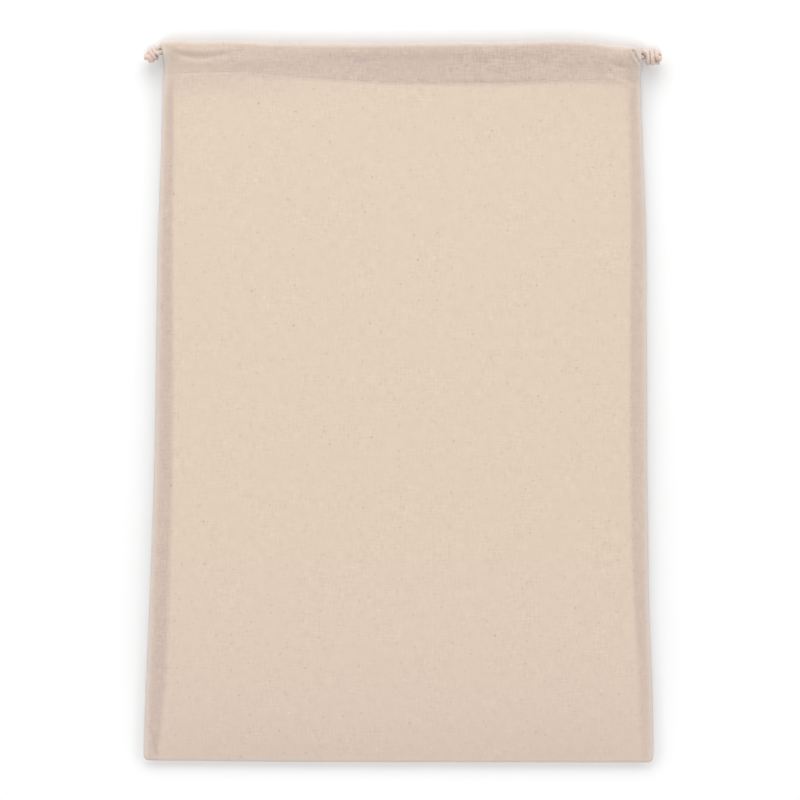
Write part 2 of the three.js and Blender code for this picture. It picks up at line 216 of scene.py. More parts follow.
# Below the stitching: the length over which the hem fades out, and how much painted shade, the shade
# under the casing's bulge, it leaves behind
HEM_FADES = [
    dict(x=-150, over=9.0, after=0.46),
    dict(x=-100, over=6.0, after=0.38),
    dict(x=-55, over=2.6, after=0.1),
    dict(x=70, over=2.2, after=0.06),
    dict(x=104, over=3.0, after=0.14),
    dict(x=148, over=6.0, after=0.16),
]
HEM_START = 0.6  # how far below the stitching the fading starts
SHADE_BELOW_SEAM_ENDS = 24  # how far below it that painted shade ends
# How far in from the outline the cloth has a painted sheen, paler and greyer, where fibres on its folds
# catch the light, and how far in from the casing's two ends, where the same paint lightens their shade
SHEEN_REACH = 4.0
SHEEN_AT_ENDS = 7.0

# The cloth's pattern. Its yarns are 0.5 mm apart, too fine to show, so their thick and thin stretches
# are drawn wider than they are.
YARN_WIDE = 1.2
YARN_LONG = 6
PATCH = 25  # where the yarns show more or less
CLOUD = 7  # where their colour is paler or darker
PUCKER_WIDE = 4  # in the drawn-in casing and the sewn sides
PUCKER_LONG = 14
# Dark and darker seed flecks and pale neps: the cell that may have one, the size of one, how many of
# the cells have one, how strong it is at most, and its colour
FLECKS = [
    dict(cell=(11, 10), size=0.95, share=0.8, strength=0.2, colour="#8A6B50"),
    dict(cell=(25, 30), size=1.05, share=0.7, strength=0.27, colour="#6F523B"),
    dict(cell=(17, 21), size=0.9, share=0.8, strength=0.22, colour="#F6EBDD"),
]
FLECK_CORE = 0.4  # share of a fleck's size that has its full strength
ROSIER = (-80, -215)  # the cloth turns a shade rosier from the first height down to the second
# What red, green, blue and alpha are multiplied by where the cloth is rosier, and where it is doubled
# and painted with shade
ROSIER_TINT = (0.995, 0.984, 1.018, 1)
DOUBLED_AND_SHADE_TINT = (0.805, 0.777, 0.848, 1)
SHEEN_MIX = 0.7  # how far the cloth turns to its painted sheen colour at most
# Fibres of the cords and of the thread. Real ones are too fine to show, so they are drawn wider.
FIBRE = 0.7
THREAD_FIBRE = 0.4

# The cords
PLIES = 3
PLY_RADIUS = 0.68  # in half diameters of the cord
PLY_PITCH = 8.5  # length of one turn of a ply
PLY_SIDES = 8  # of its round section
CORD_STEP = 0.7  # between the points of a ply
TUNNEL_STEPS = 100  # of a cord's path through a casing
BRIDGE_REACH = 1.9  # how far a cord swings out round the far side of the bag
BRIDGE_BEND = 1.2  # depth of that bend
BRIDGE_TURN = 75  # degrees up and down from the middle of it
BRIDGE_STEPS = 10  # of its path round that bend
LEAD_PULL = 1.8  # how gently a cord bends from the casing into its knot
LEAD_STEPS = 16  # of its path between the two
END_STEPS = 6  # along a cut end
# A knot is one end of the cord that is wound back round the other. It has its centre, how far its
# axis is swung down from straight out of the bag, the radius and the half length of its winding, its
# turns and their way round, how far the wound end runs straight out of the front casing, and how far
# along, out of and turned round the axis the other end enters it and the two cut ends leave it.
KNOT_STEP = 45  # degrees between the points of a winding, which begins and ends on top
KNOT_TOP = 90
KNOT_SMOOTH = 6  # steps from one such point to the next
KNOT_LOOP = 2.2  # how far the cord swings out where it turns back
# The cord is loose in a knot, and this much fuller up to the first distance from its centre. By the
# second it is as thin as elsewhere.
KNOT_FULL = 1.28
KNOT_REACH = (6, 9)
LEFT_CORD = dict(
    side=-1,
    lane=LOWER_LANE,
    centre=Vector((-155.0, 215.2, 5.2)),
    swing=30,
    radius=2.75,
    half=2.6,
    turns=2,
    way=-1,
    straight=1.8,
    entry=dict(along=-3.4, out=0.4, turned=0),
    ends=[
        dict(along=4.3, out=1.6, turned=200),
        dict(along=4.0, out=2.4, turned=330),
    ],
)
RIGHT_CORD = dict(
    side=1,
    lane=UPPER_LANE,
    centre=Vector((154.2, 213.6, 5.4)),
    swing=4,
    radius=3.6,
    half=2.9,
    turns=2,
    way=1,
    straight=4,
    entry=dict(along=-3.6, out=2.5, turned=180),
    ends=[
        dict(along=5.3, out=2.6, turned=200),
        dict(along=4.7, out=3.0, turned=335),
    ],
)

# The casing's line of stitches. Along one stitch: how proud of the cloth the middle of its thread is,
# in half threads.
STITCH_PITCH = 3.0
STITCH_LENGTH = 2.3
STITCH = [
    dict(along=0, proud=-0.9),
    dict(along=0.18, proud=0.1),
    dict(along=0.5, proud=0.25),
    dict(along=0.82, proud=0.1),
    dict(along=1, proud=-0.9),
]
THREAD = 0.36  # its diameter
THREAD_SIDES = 6  # of its round section

# The light tent: how bright it is from the level of the floor, 0, to straight above, 1. It is open
# towards the bottom of the bag, between these two ways along Y.
TENT = [
    dict(height=0.0, light=0.28),
    dict(height=0.16, light=0.28),
    dict(height=0.26, light=2.78),
    dict(height=0.52, light=2.78),
    dict(height=0.64, light=0.03),
    dict(height=1.0, light=0.03),
]
TENT_OPEN = (-0.65, -0.2)
TENT_THROUGH = 0.3  # share of its light that comes through there all the same
# Light panels, which face the bag: place and size in metres
PANELS = [
    dict(name="overhead panel", at=(0, -3.7, 8.5), wide=5.6, deep=5.2, watts=388),
    dict(name="mouth panel", at=(-0.1, 1.1, 0.8), wide=1.2, deep=0.9, watts=5.4),
]
# The white surface that the bag lies on, and the camera, which looks straight down
TABLE_HALF = 3000
TABLE_BELOW = 0.1  # how far it keeps clear of the cloth
CAMERA_AT = (-1.86, 1.395, 2207.4)
CAMERA_SENSOR = 36
CAMERA_LENS = 160


def lerp(a, b, share):
    return a + (b - a) * share


def smoothstep(value, low, high):
    share = min(max((value - low) / (high - low), 0), 1)
    return share * share * (3 - 2 * share)


def bell(distance, reach, power=2):
    """1 at no distance, and about a third at the reach. A higher power makes its top flatter."""
    return math.exp(-((distance / reach) ** power))


def spread(start, end, count):
    """Even steps from start to end, without end."""
    return [lerp(start, end, i / count) for i in range(count)]


def curve_through(rows, key, column):
    """A smooth curve through a table's rows, which doesn't overshoot them."""
    keys = [row[key] for row in rows]
    values = [row[column] for row in rows]
    spans = [b - a for a, b in zip(keys, keys[1:])]
    slopes = [(b - a) / span for a, b, span in zip(values, values[1:], spans)]
    pairs = zip([slopes[0], *slopes], [*slopes, slopes[-1]])
    tangents = [0 if a * b <= 0 else 2 * a * b / (a + b) for a, b in pairs]

    def value_at(place):
        place = min(max(place, keys[0]), keys[-1])
        i = 0
        while i + 2 < len(keys) and keys[i + 1] <= place:
            i += 1
        q = (place - keys[i]) / spans[i]
        leaving = (1 - q) * (tangents[i] - slopes[i])
        arriving = q * (tangents[i + 1] - slopes[i])
        return lerp(values[i], values[i + 1], q) + q * (1 - q) * spans[i] * (leaving - arriving)

    return value_at


left_edge = curve_through(SIDES, "y", "left")
right_edge = curve_through(SIDES, "y", "right")
mouth_edge = curve_through(MOUTH_EDGE, "x", "y")
casing_seam = curve_through(CASING_SEAM, "x", "y")
bottom_fold = curve_through(BOTTOM_FOLD, "x", "y")
casing_thick = curve_through(CASING, "step", "thick")
casing_lift = curve_through(CASING, "step", "lift")
casing_crease = curve_through(CASING, "step", "crease")
strip_shows = curve_through(STRIP_SHOWS, "inset", "share")
left_strip_wide = curve_through(STRIPS, "y", "left_wide")
right_strip_wide = curve_through(STRIPS, "y", "right_wide")
left_strip_share = curve_through(STRIPS, "y", "left_share")
right_strip_share = curve_through(STRIPS, "y", "right_share")
hem_shows = curve_through(HEM_SHOWS, "depth", "share")
hem_along = curve_through(HEM_ALONG, "x", "share")
hem_fades = curve_through(HEM_FADES, "x", "over")
shade_below_seam = curve_through(HEM_FADES, "x", "after")


# u runs from -1 on the left edge to 1 on the right edge
def across(u, y):
    return lerp(left_edge(y), right_edge(y), (u + 1) / 2)


@lru_cache(maxsize=None)
def mouth_at(u):
    return mouth_edge(across(u, MOUTH_LEVEL))


@lru_cache(maxsize=None)
def seam_at(u):
    return casing_seam(across(u, SEAM_LEVEL))


@lru_cache(maxsize=None)
def fold_at(u):
    return bottom_fold(across(u, FOLD_LEVEL))


def from_side(u):
    return max(1 - abs(u), 0) * HALF_WIDTH


@lru_cache(maxsize=None)
def over_side(u):
    """How far the front has risen at u, from 0 at a side edge to 1 half way across."""
    inset = from_side(u)
    return lerp(1 - math.exp(-inset / SIDE_EASE), min(inset / ALLOWANCE, 1), STRIP_RISE)


def casing_y(u, step):
    """Where a step of the casing is, between the mouth's edge and the stitching."""
    depth = step
    if step > ROLL_FOOT:
        stretch = (step - ROLL_FOOT) / (SEAM_STEP - ROLL_FOOT)
        depth = lerp(ROLL_FOOT, mouth_at(u) - seam_at(u), stretch)
    return mouth_at(u) - depth


def layered(u, step):
    """The casing's thickness, with what the turned-in allowances add at the sides."""
    past_roll = smoothstep(step, ROLL, ROLL_FOOT)
    return casing_thick(step) + SIDE_LAYERS * past_roll * (1 - min(from_side(u) / ALLOWANCE, 1))


def mouth_face(u, step):
    """Height of the front casing's lower face."""
    at_side = layered(u, step) + MOUTH_GAP_ENDS
    return lerp(at_side, 2 * ROLL + MOUTH_GAP_MIDDLE + casing_lift(step), over_side(u))


def folds_at(x, y):
    """How far the listed folds take the front down."""
    drop = 0
    for fold in FOLDS:
        run = Vector((fold["to_x"] - fold["x"], fold["to_y"] - fold["y"]))
        point = Vector((x - fold["x"], y - fold["y"]))
        along = point.dot(run) / run.length_squared
        if 0 < along < 1:
            beside = run.cross(point) / run.length - fold["bow"] * 4 * along * (1 - along)
            fade = math.sin(math.pi * along) ** FOLD_FADE
            drop += fold["depth"] * fade * bell(beside, fold["reach"])
    return drop


def unevenness(x, y):
    """How far the slow waves and the rumples lift the front."""
    lift = 0
    for wave in WAVES:
        lift += wave["height"] * math.sin(x / wave["aside"] + y / wave["up"] + wave["start"])
    rumple = noise.noise(Vector((x / RUMPLES["aside"], y / RUMPLES["up"], 0)))
    return lift + RUMPLES["height"] * rumple


def groove_at(u, y):
    """How far the casing's stitching pulls the cloth in."""
    tighter = bell(across(u, y) - GROOVE_DEEPER["x"], GROOVE_DEEPER["reach"], power=4)
    depth = SEAM_GROOVE + GROOVE_DEEPER["by"] * tighter
    return depth * bell(y - seam_at(u), GROOVE_REACH)


def casing_top(u, step):
    """Height of the front casing's upper face."""
    y = casing_y(u, step)
    x = across(u, y)
    pull = sum(bell(x - crease["x"], crease["reach"]) for crease in ROLL_CREASES)
    top = mouth_face(u, step) + layered(u, step) - casing_crease(step) * pull
    return top - folds_at(x, y) - groove_at(u, y)


def front_top(u, y):
    """Height of the front below the casing. It climbs from the top of the bottom fold's bend."""
    x = across(u, y)
    above_bend = max(y - fold_at(u) - EDGE_HEIGHT / 2, 0)
    over_fold = 1 - math.exp(-above_bend / FOLD_EASE)
    rise = BODY_HEIGHT - EDGE_HEIGHT + unevenness(x, y)
    body = EDGE_HEIGHT + rise * over_side(u) * over_fold
    sewn = mouth_face(u, SEAM_STEP) + layered(u, SEAM_STEP)
    level = lerp(body, sewn, smoothstep(y, seam_at(u) - SHOULDER, seam_at(u)))
    return level - folds_at(x, y) - groove_at(u, y)


# The stretches of the cloth, along its cut length. Each gives y and z of the middle of the cloth, and
# the way towards which its allowance is turned in.
def round_fold(y, z, radius, degrees):
    turn = math.radians(degrees)
    return y + radius * math.cos(turn), z + radius * math.sin(turn), (-math.cos(turn), -math.sin(turn))


def front_hem(u, step):
    return casing_y(u, step), mouth_face(u, step) + SHEET / 2, (0, 1)


def front_roll(u, degrees):
    return round_fold(mouth_at(u) - ROLL, mouth_face(u, ROLL) + ROLL, ROLL - SHEET / 2, degrees)


def front_casing(u, step):
    return casing_y(u, step), casing_top(u, step) - SHEET / 2, (0, -1)


def front_panel(u, share):
    y = lerp(seam_at(u), fold_at(u) + EDGE_HEIGHT / 2, share)
    return y, front_top(u, y) - SHEET / 2, (0, -1)


def bottom_bend(u, degrees):
    return round_fold(fold_at(u) + EDGE_HEIGHT / 2, EDGE_HEIGHT / 2, (EDGE_HEIGHT - SHEET) / 2, degrees)


def back_panel(u, share):
    y = lerp(fold_at(u) + EDGE_HEIGHT / 2, seam_at(u), share)
    return y, SHEET / 2, (0, 1)


def back_casing(u, step):
    return casing_y(u, step), SHEET / 2, (0, 1)


def back_roll(u, degrees):
    return round_fold(mouth_at(u) - ROLL, ROLL, ROLL - SHEET / 2, degrees)


def back_hem(u, step):
    return casing_y(u, step), layered(u, step) - SHEET / 2, (0, -1)


# The rows of the cloth. A panel's rows are shares of the way between the stitching and the bottom
# fold. They are closer together at the stitching, and on the front also at the fold.
HEM_EDGE = SEAM_STEP + HEM_PAST_SEAM
FRONT_NEAR_SEAM = [0, 0.0014, 0.003, 0.0048, 0.007, 0.01, 0.014, 0.02]
FRONT_BODY = 0.027
FRONT_NEAR_FOLD = 0.985
BACK_NEAR_SEAM = [0.99, 0.994, 0.997]
front_body = spread(FRONT_BODY, FRONT_NEAR_FOLD, 122)
front_shares = FRONT_NEAR_SEAM + front_body + spread(FRONT_NEAR_FOLD, 1, 5)
back_shares = spread(0, BACK_NEAR_SEAM[0], 40) + BACK_NEAR_SEAM
CLOTH_ROWS = [
    *[(front_hem, step) for step in spread(HEM_EDGE, ROLL, 10)],
    *[(front_roll, degrees) for degrees in spread(*ROLL_TURN, 10)],
    *[(front_casing, step) for step in spread(ROLL, SEAM_STEP, 30)],
    *[(front_panel, share) for share in front_shares],
    *[(bottom_bend, degrees) for degrees in spread(*BEND_TURN, 8)],
    *[(back_panel, share) for share in back_shares],
    *[(back_casing, step) for step in spread(SEAM_STEP, ROLL, 10)],
    *[(back_roll, degrees) for degrees in spread(*ROLL_TURN, 10)],
    *[(back_hem, step) for step in spread(ROLL, HEM_EDGE, 10)],
    (back_hem, HEM_EDGE),
]
FRONT_PLACES = (front_hem, front_roll, front_casing, front_panel)
# The columns of the cloth, from a side's cut edge: distance in from the edge of the bag, and how
# far the allowance is turned under. The front's are closer together over the allowance.
SIDE_COLUMNS = [
    dict(inset=9.2, under=1),
    dict(inset=6.2, under=1),
    dict(inset=3.2, under=1),
    dict(inset=0.9, under=1),
    dict(inset=0.26, under=0.8),
    dict(inset=0, under=0.5),
    dict(inset=0.26, under=0.2),
]
FRONT_START = 0.9
PAST_STRIP = 13.2
front_insets = spread(FRONT_START, PAST_STRIP, 17) + spread(PAST_STRIP, HALF_WIDTH, 47)
half_columns = SIDE_COLUMNS + [dict(inset=inset, under=0) for inset in front_insets]
CLOTH_COLUMNS = [
    *[dict(u=column["inset"] / HALF_WIDTH - 1, **column) for column in half_columns],
    dict(u=0.0, inset=HALF_WIDTH, under=0),
    *[dict(u=1 - column["inset"] / HALF_WIDTH, **column) for column in reversed(half_columns)],
]


def laid_point(column, row):
    """Where a point of the cut cloth lies, in millimetres."""
    place, value = row
    y, z, inwards = place(column["u"], value)
    below_casing = smoothstep(y, SEAM_LEVEL, SEAM_LEVEL - CASING_EASE)
    under = column["under"] * (TUCK + TUCK_EASE * below_casing)
    y += inwards[0] * under
    z += inwards[1] * under
    if place in FRONT_PLACES:
        return Vector((across(column["u"], y), y, z))
    # The back's sides are drawn in under the front's, and the bend's on its way to the back
    drawn_in = smoothstep(value, *BEND_TURN) if place is bottom_bend else 1
    tucked = BACK_TUCK * drawn_in * below_casing * max(1 - column["inset"] / BACK_TUCK_REACH, 0)
    u = math.copysign(abs(column["u"]) - tucked / HALF_WIDTH, column["u"])
    return Vector((across(u, y), y, z))


def doubled_and_shaded(column, row):
    """How dark the cloth is painted: its doubled layers, which let less light through, and painted shade.
    """
    place, value = row
    u = column["u"]
    y = place(u, value)[0]
    if u > 0:
        strip = strip_shows(column["inset"] / right_strip_wide(y)) * right_strip_share(y)
    else:
        strip = strip_shows(column["inset"] / left_strip_wide(y)) * left_strip_share(y)
    if place is bottom_bend:
        return strip
    x = across(u, y)
    below = seam_at(u) - y
    hem = hem_shows(mouth_at(u) - y) * hem_along(x)
    # Below the stitching the shade under the casing's bulge is painted in, and fades out
    after = shade_below_seam(x) * (1 - smoothstep(below, 0, SHADE_BELOW_SEAM_ENDS))
    return lerp(hem, max(strip, after), smoothstep(below, HEM_START, HEM_START + hem_fades(x)))


def sheen_at_edges(column, row):
    """How much painted sheen the cloth has, paler and greyer, from 1 on the bag's outline to 0."""
    place, value = row
    u = column["u"]
    y = place(u, value)[0]
    side_reach = lerp(SHEEN_REACH, SHEEN_AT_ENDS, smoothstep(y, seam_at(u), seam_at(u) + ALLOWANCE))
    to_side = column["inset"] / side_reach
    to_mouth = (mouth_at(u) - y) / SHEEN_REACH
    to_fold = (y - fold_at(u)) / SHEEN_REACH
    return 1 - smoothstep(min(to_side, to_mouth, to_fold), 0, 1)


def placed(name, data):
    """A new object at the origin."""
    piece = bpy.data.objects.new(name, data)
    bpy.context.collection.objects.link(piece)
    return piece


def bag_cloth():
    """One length of cloth, folded at the bottom, sewn up the sides and hemmed at the mouth."""
    wide = len(CLOTH_COLUMNS)
    long = len(CLOTH_ROWS)
    points = [[laid_point(column, row) for column in CLOTH_COLUMNS] for row in CLOTH_ROWS]
    # Places on the flat cut, in metres, down the middle column and across a row of the front
    middle = wide // 2
    down_cut = [0]
    for before, after in zip(points, points[1:]):
        down_cut.append(down_cut[-1] + (after[middle] - before[middle]).length * MM)
    front_row = points[long // 3]
    across_cut = [0]
    for before, after in zip(front_row, front_row[1:]):
        across_cut.append(across_cut[-1] + (after - before).length * MM)
    mesh = bpy.data.meshes.new("bag_cloth_sheet")
    cloth = bmesh.new()
    bmesh.ops.create_grid(cloth, x_segments=wide - 1, y_segments=long - 1, size=0.5)
    thread_map = cloth.loops.layers.uv.new("cut")
    # How dark the cloth is painted, for its doubled layers and as painted shade
    layers = cloth.verts.layers.float.new("layers")
    # Where a painted sheen makes the cloth paler along its edges
    edge_sheen = cloth.verts.layers.float.new("edge_sheen")
    cut_places = {}
    for vert in cloth.verts:
        i = round((vert.co.x + 0.5) * (wide - 1))
        j = round((vert.co.y + 0.5) * (long - 1))
        cut_places[vert] = (across_cut[i], down_cut[j])
        vert[layers] = doubled_and_shaded(CLOTH_COLUMNS[i], CLOTH_ROWS[j])
        vert[edge_sheen] = sheen_at_edges(CLOTH_COLUMNS[i], CLOTH_ROWS[j])
        vert.co = points[j][i] * MM
    for face in cloth.faces:
        face.smooth = True
        for loop in face.loops:
            loop[thread_map].uv = cut_places[loop.vert]
    cloth.to_mesh(mesh)
    cloth.free()
    piece = placed("bag_cloth_sheet", mesh)
    wall = piece.modifiers.new("cloth thickness", "SOLIDIFY")
    wall.thickness = SHEET * MM
    wall.offset = 0
    return piece, (across_cut[-1], down_cut[-1])


def swept(name, strands, radius, sides):
    """One mesh of round strands. Each has its points, how full it is there, and if it is a ring."""
    curves = bpy.data.curves.new(name, "CURVE")
    curves.dimensions = "3D"
    curves.bevel_depth = radius * MM
    curves.bevel_resolution = (sides - 4) // 2
    curves.use_fill_caps = True
    for places, sizes, ring in strands:
        strand = curves.splines.new("POLY")
        strand.points.add(len(places) - 1)
        for point, place, size in zip(strand.points, places, sizes):
            point.co = (*(place * MM), 1)
            point.radius = size
        strand.use_cyclic_u = ring
    carrier = placed(name, curves)
    laid = carrier.evaluated_get(bpy.context.evaluated_depsgraph_get())
    mesh = bpy.data.meshes.new_from_object(laid)
    bpy.data.objects.remove(carrier)
    bpy.data.curves.remove(curves)
    mesh.name = name
    for face in mesh.polygons:
        face.use_smooth = True
    return placed(name, mesh)


def even_points(points, ring, step):
    """The same path with its points an even step apart, and its length."""
    path = points + points[:1] if ring else points
    lengths = [(b - a).length for a, b in zip(path, path[1:])]
    total = sum(lengths)
    count = max(round(total / step), 2)
    places = []
    i = 0
    passed = 0
    for k in range(count if ring else count + 1):
        want = total * k / count
        while i + 1 < len(lengths) and passed + lengths[i] < want:
            passed += lengths[i]
            i += 1
        places.append(path[i].lerp(path[i + 1], (want - passed) / lengths[i]))
    return places, total


def fullness(cord, place):
    """How full a cord is at a place, where 1 is as elsewhere."""
    return lerp(KNOT_FULL, 1, smoothstep((place - cord["centre"]).length, *KNOT_REACH))


def twisted(cord, points, ring):
    """The plies of a twisted cord along a path."""
    places, total = even_points(points, ring, CORD_STEP)
    sizes = [fullness(cord, place) for place in places]
    count = len(places)
    turns = max(round(total / PLY_PITCH), 1)
    tangents = []
    for i in range(count):
        before = places[i - 1] if ring or i > 0 else places[0]
        after = places[(i + 1) % count] if ring or i + 1 < count else places[-1]
        tangents.append((after - before).normalized())
    sideways = [Vector((0, 1, 0)).cross(tangents[0]).normalized()]
    for i in range(1, count + 1):
        turn = tangents[i - 1].rotation_difference(tangents[i % count])
        sideways.append(turn @ sideways[-1])
    # What the ring lacks to meet itself again is shared out over its whole length
    start, end = sideways[0], sideways[-1]
    lack = math.atan2(start.cross(end).dot(tangents[0]), start.dot(end)) if ring else 0
    plies = []
    for ply in range(PLIES):
        strand = []
        for i in range(count):
            angle = 2 * math.pi * (turns * i / count + ply / PLIES) - lack * i / count
            out = Quaternion(tangents[i], angle) @ sideways[i]
            strand.append(places[i] + out * (1 - PLY_RADIUS) * sizes[i] * CORD / 2)
        plies.append((strand, sizes, ring))
    return plies


def bezier(start, pull, draw, end, count):
    """Points of a cubic curve, without its two ends."""
    points = []
    for i in range(1, count):
        t = i / count
        a = start.lerp(pull, t)
        b = pull.lerp(draw, t)
        c = draw.lerp(end, t)
        points.append(a.lerp(b, t).lerp(b.lerp(c, t), t))
    return points


def smooth_through(places, count):
    """A smooth curve through places, with count steps from one to the next."""
    before = places[0] * 2 - places[1]
    after = places[-1] * 2 - places[-2]
    known = [before, *places, after]
    points = []
    for a, b, c, d in zip(known, known[1:], known[2:], known[3:]):
        for i in range(count):
            t = i / count
            leaving = (c - a) / 2
            arriving = (d - b) / 2
            bend = (b - c) * 2 + leaving + arriving
            points.append(b + leaving * t + (c - b - leaving - bend) * t**2 + bend * t**3)
    return points + [places[-1]]


def in_tunnel(cord, u, z):
    """A point of a cord inside a casing."""
    y = mouth_at(u) - cord["lane"]
    return Vector((across(u, y), y, z))


def bridge(cord, start, end):
    """A cord's bend from the front casing to the back one, round the far side of the bag."""
    points = []
    for degrees in [*spread(BRIDGE_TURN, -BRIDGE_TURN, BRIDGE_STEPS), -BRIDGE_TURN]:
        turn = math.radians(degrees)
        out = BRIDGE_REACH - BRIDGE_BEND * (1 - math.cos(turn))
        point = start.lerp(end, (1 - math.sin(turn)) / 2)
        point.x = end.x - cord["side"] * out
        points.append(point)
    return points


def in_knot(cord, along, out, turned):
    """A point of a cord's knot: so far along its axis, out of it and turned round it."""
    swing = math.radians(cord["swing"])
    axis = Vector((cord["side"] * math.cos(swing), -math.sin(swing), 0))
    up = Vector((0, 0, 1))
    level = axis.cross(up) * cord["side"]
    turn = math.radians(turned)
    return cord["centre"] + axis * along + (level * math.cos(turn) + up * math.sin(turn)) * out


def wound_knot(cord):
    """The cord into its knot, through the winding, back round itself and along the winding."""
    half = cord["half"]
    radius = cord["radius"]
    core = [in_knot(cord, **cord["entry"]), in_knot(cord, 0, 0, 0), in_knot(cord, half, 0, 0)]
    loop = in_knot(cord, half + KNOT_LOOP, radius / 2, KNOT_TOP - cord["way"] * KNOT_STEP / 2)
    steps = cord["turns"] * 360 // KNOT_STEP
    winding = []
    for i in range(steps + 1):
        turned = KNOT_TOP + cord["way"] * i * KNOT_STEP
        winding.append(in_knot(cord, lerp(half, -half, i / steps), radius, turned))
    return smooth_through([*core, loop, *winding], KNOT_SMOOTH)


def lead(cord, casing_end, straight, first, second):
    """The stretch of a cord from a casing's end to the first point of its knot."""
    leaving = casing_end + Vector((cord["side"] * straight, 0, 0))
    arriving = first + (first - second).normalized() * LEAD_PULL
    return bezier(casing_end, leaving, arriving, first, LEAD_STEPS)


def drawstring(name, cord):
    """A cord through both casings, tied beside one end of them."""
    steps = [-cord["side"] * u for u in [*spread(-1, 1, TUNNEL_STEPS), 1]]
    front = [in_tunnel(cord, u, mouth_face(u, ROLL) + ROLL) for u in steps]
    back = [in_tunnel(cord, u, ROLL) for u in reversed(steps)]
    over = bridge(cord, front[-1], back[0])
    knot = wound_knot(cord)
    to_knot = lead(cord, back[-1], LEAD_PULL, knot[0], knot[1])
    from_knot = lead(cord, front[0], cord["straight"], knot[-1], knot[-2])[::-1]
    strands = twisted(cord, [*front, *over, *back, *to_knot, *knot, *from_knot], True)
    for end in cord["ends"]:
        start = in_knot(cord, 0, end["out"], end["turned"])
        tip = in_knot(cord, **end)
        cut_end = [start.lerp(tip, i / END_STEPS) for i in range(END_STEPS + 1)]
        strands += twisted(cord, cut_end, False)
    return swept(name, strands, PLY_RADIUS * CORD / 2, PLY_SIDES)


def casing_stitches():
    """The thread that holds the front hem, one short loop for each stitch."""
    strands = []
    left = across(-1, SEAM_LEVEL)
    width = across(1, SEAM_LEVEL) - left
    for i in range(round(width / STITCH_PITCH)):
        middle = left + (i + 0.5) * STITCH_PITCH
        points = []
        for row in STITCH:
            x = middle + (row["along"] - 0.5) * STITCH_LENGTH
            u = 2 * (x - left) / width - 1
            y = seam_at(u)
            z = casing_top(u, SEAM_STEP) + row["proud"] * THREAD / 2
            points.append(Vector((across(u, y), y, z)))
        strands.append((points, [1] * len(points), False))
    return swept("casing_stitches", strands, THREAD / 2, THREAD_SIDES)


def linear(srgb):
    """An sRGB hex colour as linear RGBA."""
    channels = [int(srgb[i : i + 2], 16) / 255 for i in (1, 3, 5)]
    return [c / 12.92 if c <= 0.04045 else ((c + 0.055) / 1.055) ** 2.4 for c in channels] + [1]


# The sockets of a Mix node that mixes colours: how much, from what, to what, and its result
SHARE = 0
FROM = 6
TO = 7
MIXED = 2


def add(tree, kind, inputs=None, **settings):
    """Adds a node with its settings, its constant inputs and its links."""
    node = tree.nodes.new(kind)
    for name, value in settings.items():
        setattr(node, name, value)
    for name, value in (inputs or {}).items():
        if isinstance(value, bpy.types.NodeSocket):
            tree.links.new(value, node.inputs[name])
        else:
            node.inputs[name].default_value = value
    return node


def new_material(name):
    material = bpy.data.materials.new(name)
    material.use_nodes = True
    material.node_tree.nodes.clear()
    return material, material.node_tree


def per_metre(wide, long):
    """The scale that gives a flat pattern features of this size, on coordinates in metres."""
    return (METRE / wide, METRE / long, METRE)


def yarn_noise(tree, cut):
    """The thick and thin stretches of the warp and the weft, about 1 in all."""
    warp_place = add(tree, "ShaderNodeMapping", {"Vector": cut, "Scale": per_metre(YARN_WIDE, YARN_LONG)})
    weft_place = add(tree, "ShaderNodeMapping", {"Vector": cut, "Scale": per_metre(YARN_LONG, YARN_WIDE)})
    warp = add(tree, "ShaderNodeTexNoise", {"Vector": warp_place.outputs[0], "Scale": 1, "Detail": 2})
    weft = add(tree, "ShaderNodeTexNoise", {"Vector": weft_place.outputs[0], "Scale": 1, "Detail": 2})
    both = add(tree, "ShaderNodeMath", {0: warp.outputs[0], 1: weft.outputs[0]}, operation="ADD")
    return both.outputs[0]


def cloth_shade(tree, cut, yarns, layers):
    """How much lighter or darker than usual the cloth is, about 1."""
    grain = add(tree, "ShaderNodeMath", {0: yarns, 1: 1}, operation="SUBTRACT")
    patches = add(tree, "ShaderNodeTexNoise", {"Vector": cut, "Scale": METRE / PATCH, "Detail": 1})
    depth = add(
        tree,
        "ShaderNodeMapRange",
        {"Value": patches.outputs[0], "From Min": 0.35, "From Max": 0.65, "To Min": 0.07, "To Max": 0.2},
    )
    clouds = add(tree, "ShaderNodeTexNoise", {"Vector": cut, "Scale": METRE / CLOUD, "Detail": 2})
    cloudy = add(
        tree,
        "ShaderNodeMapRange",
        {"Value": clouds.outputs[0], "From Min": 0.2, "From Max": 0.8, "To Min": -0.024, "To Max": 0.024},
    )
    uneven = add(
        tree,
        "ShaderNodeMath",
        {0: grain.outputs[0], 1: depth.outputs[0], 2: cloudy.outputs[0]},
        operation="MULTIPLY_ADD",
    )
    # All of it shows more where the cloth is doubled and drawn in, and where shade is painted
    stronger = add(tree, "ShaderNodeMath", {0: layers, 1: 1.2, 2: 1}, operation="MULTIPLY_ADD")
    shade = add(
        tree,
        "ShaderNodeMath",
        {0: uneven.outputs[0], 1: stronger.outputs[0], 2: 1},
        operation="MULTIPLY_ADD",
    )
    return shade.outputs[0]


def cloth_colour(tree, shade):
    """The plain cloth's colour, a shade rosier towards the bottom fold."""
    tone = add(
        tree,
        "ShaderNodeVectorMath",
        {0: linear("#D3C1AF")[:3], "Scale": shade},
        operation="SCALE",
    )
    place = add(tree, "ShaderNodeTexCoord").outputs["Object"]
    up_the_bag = add(tree, "ShaderNodeSeparateXYZ", {0: place}).outputs["Y"]
    low_down = add(
        tree,
        "ShaderNodeMapRange",
        {"Value": up_the_bag, "From Min": ROSIER[0] * MM, "From Max": ROSIER[1] * MM},
    )
    rosier = add(
        tree,
        "ShaderNodeMix",
        {SHARE: low_down.outputs[0], FROM: tone.outputs[0], TO: ROSIER_TINT},
        data_type="RGBA",
        blend_type="MULTIPLY",
    )
    return rosier.outputs[MIXED]


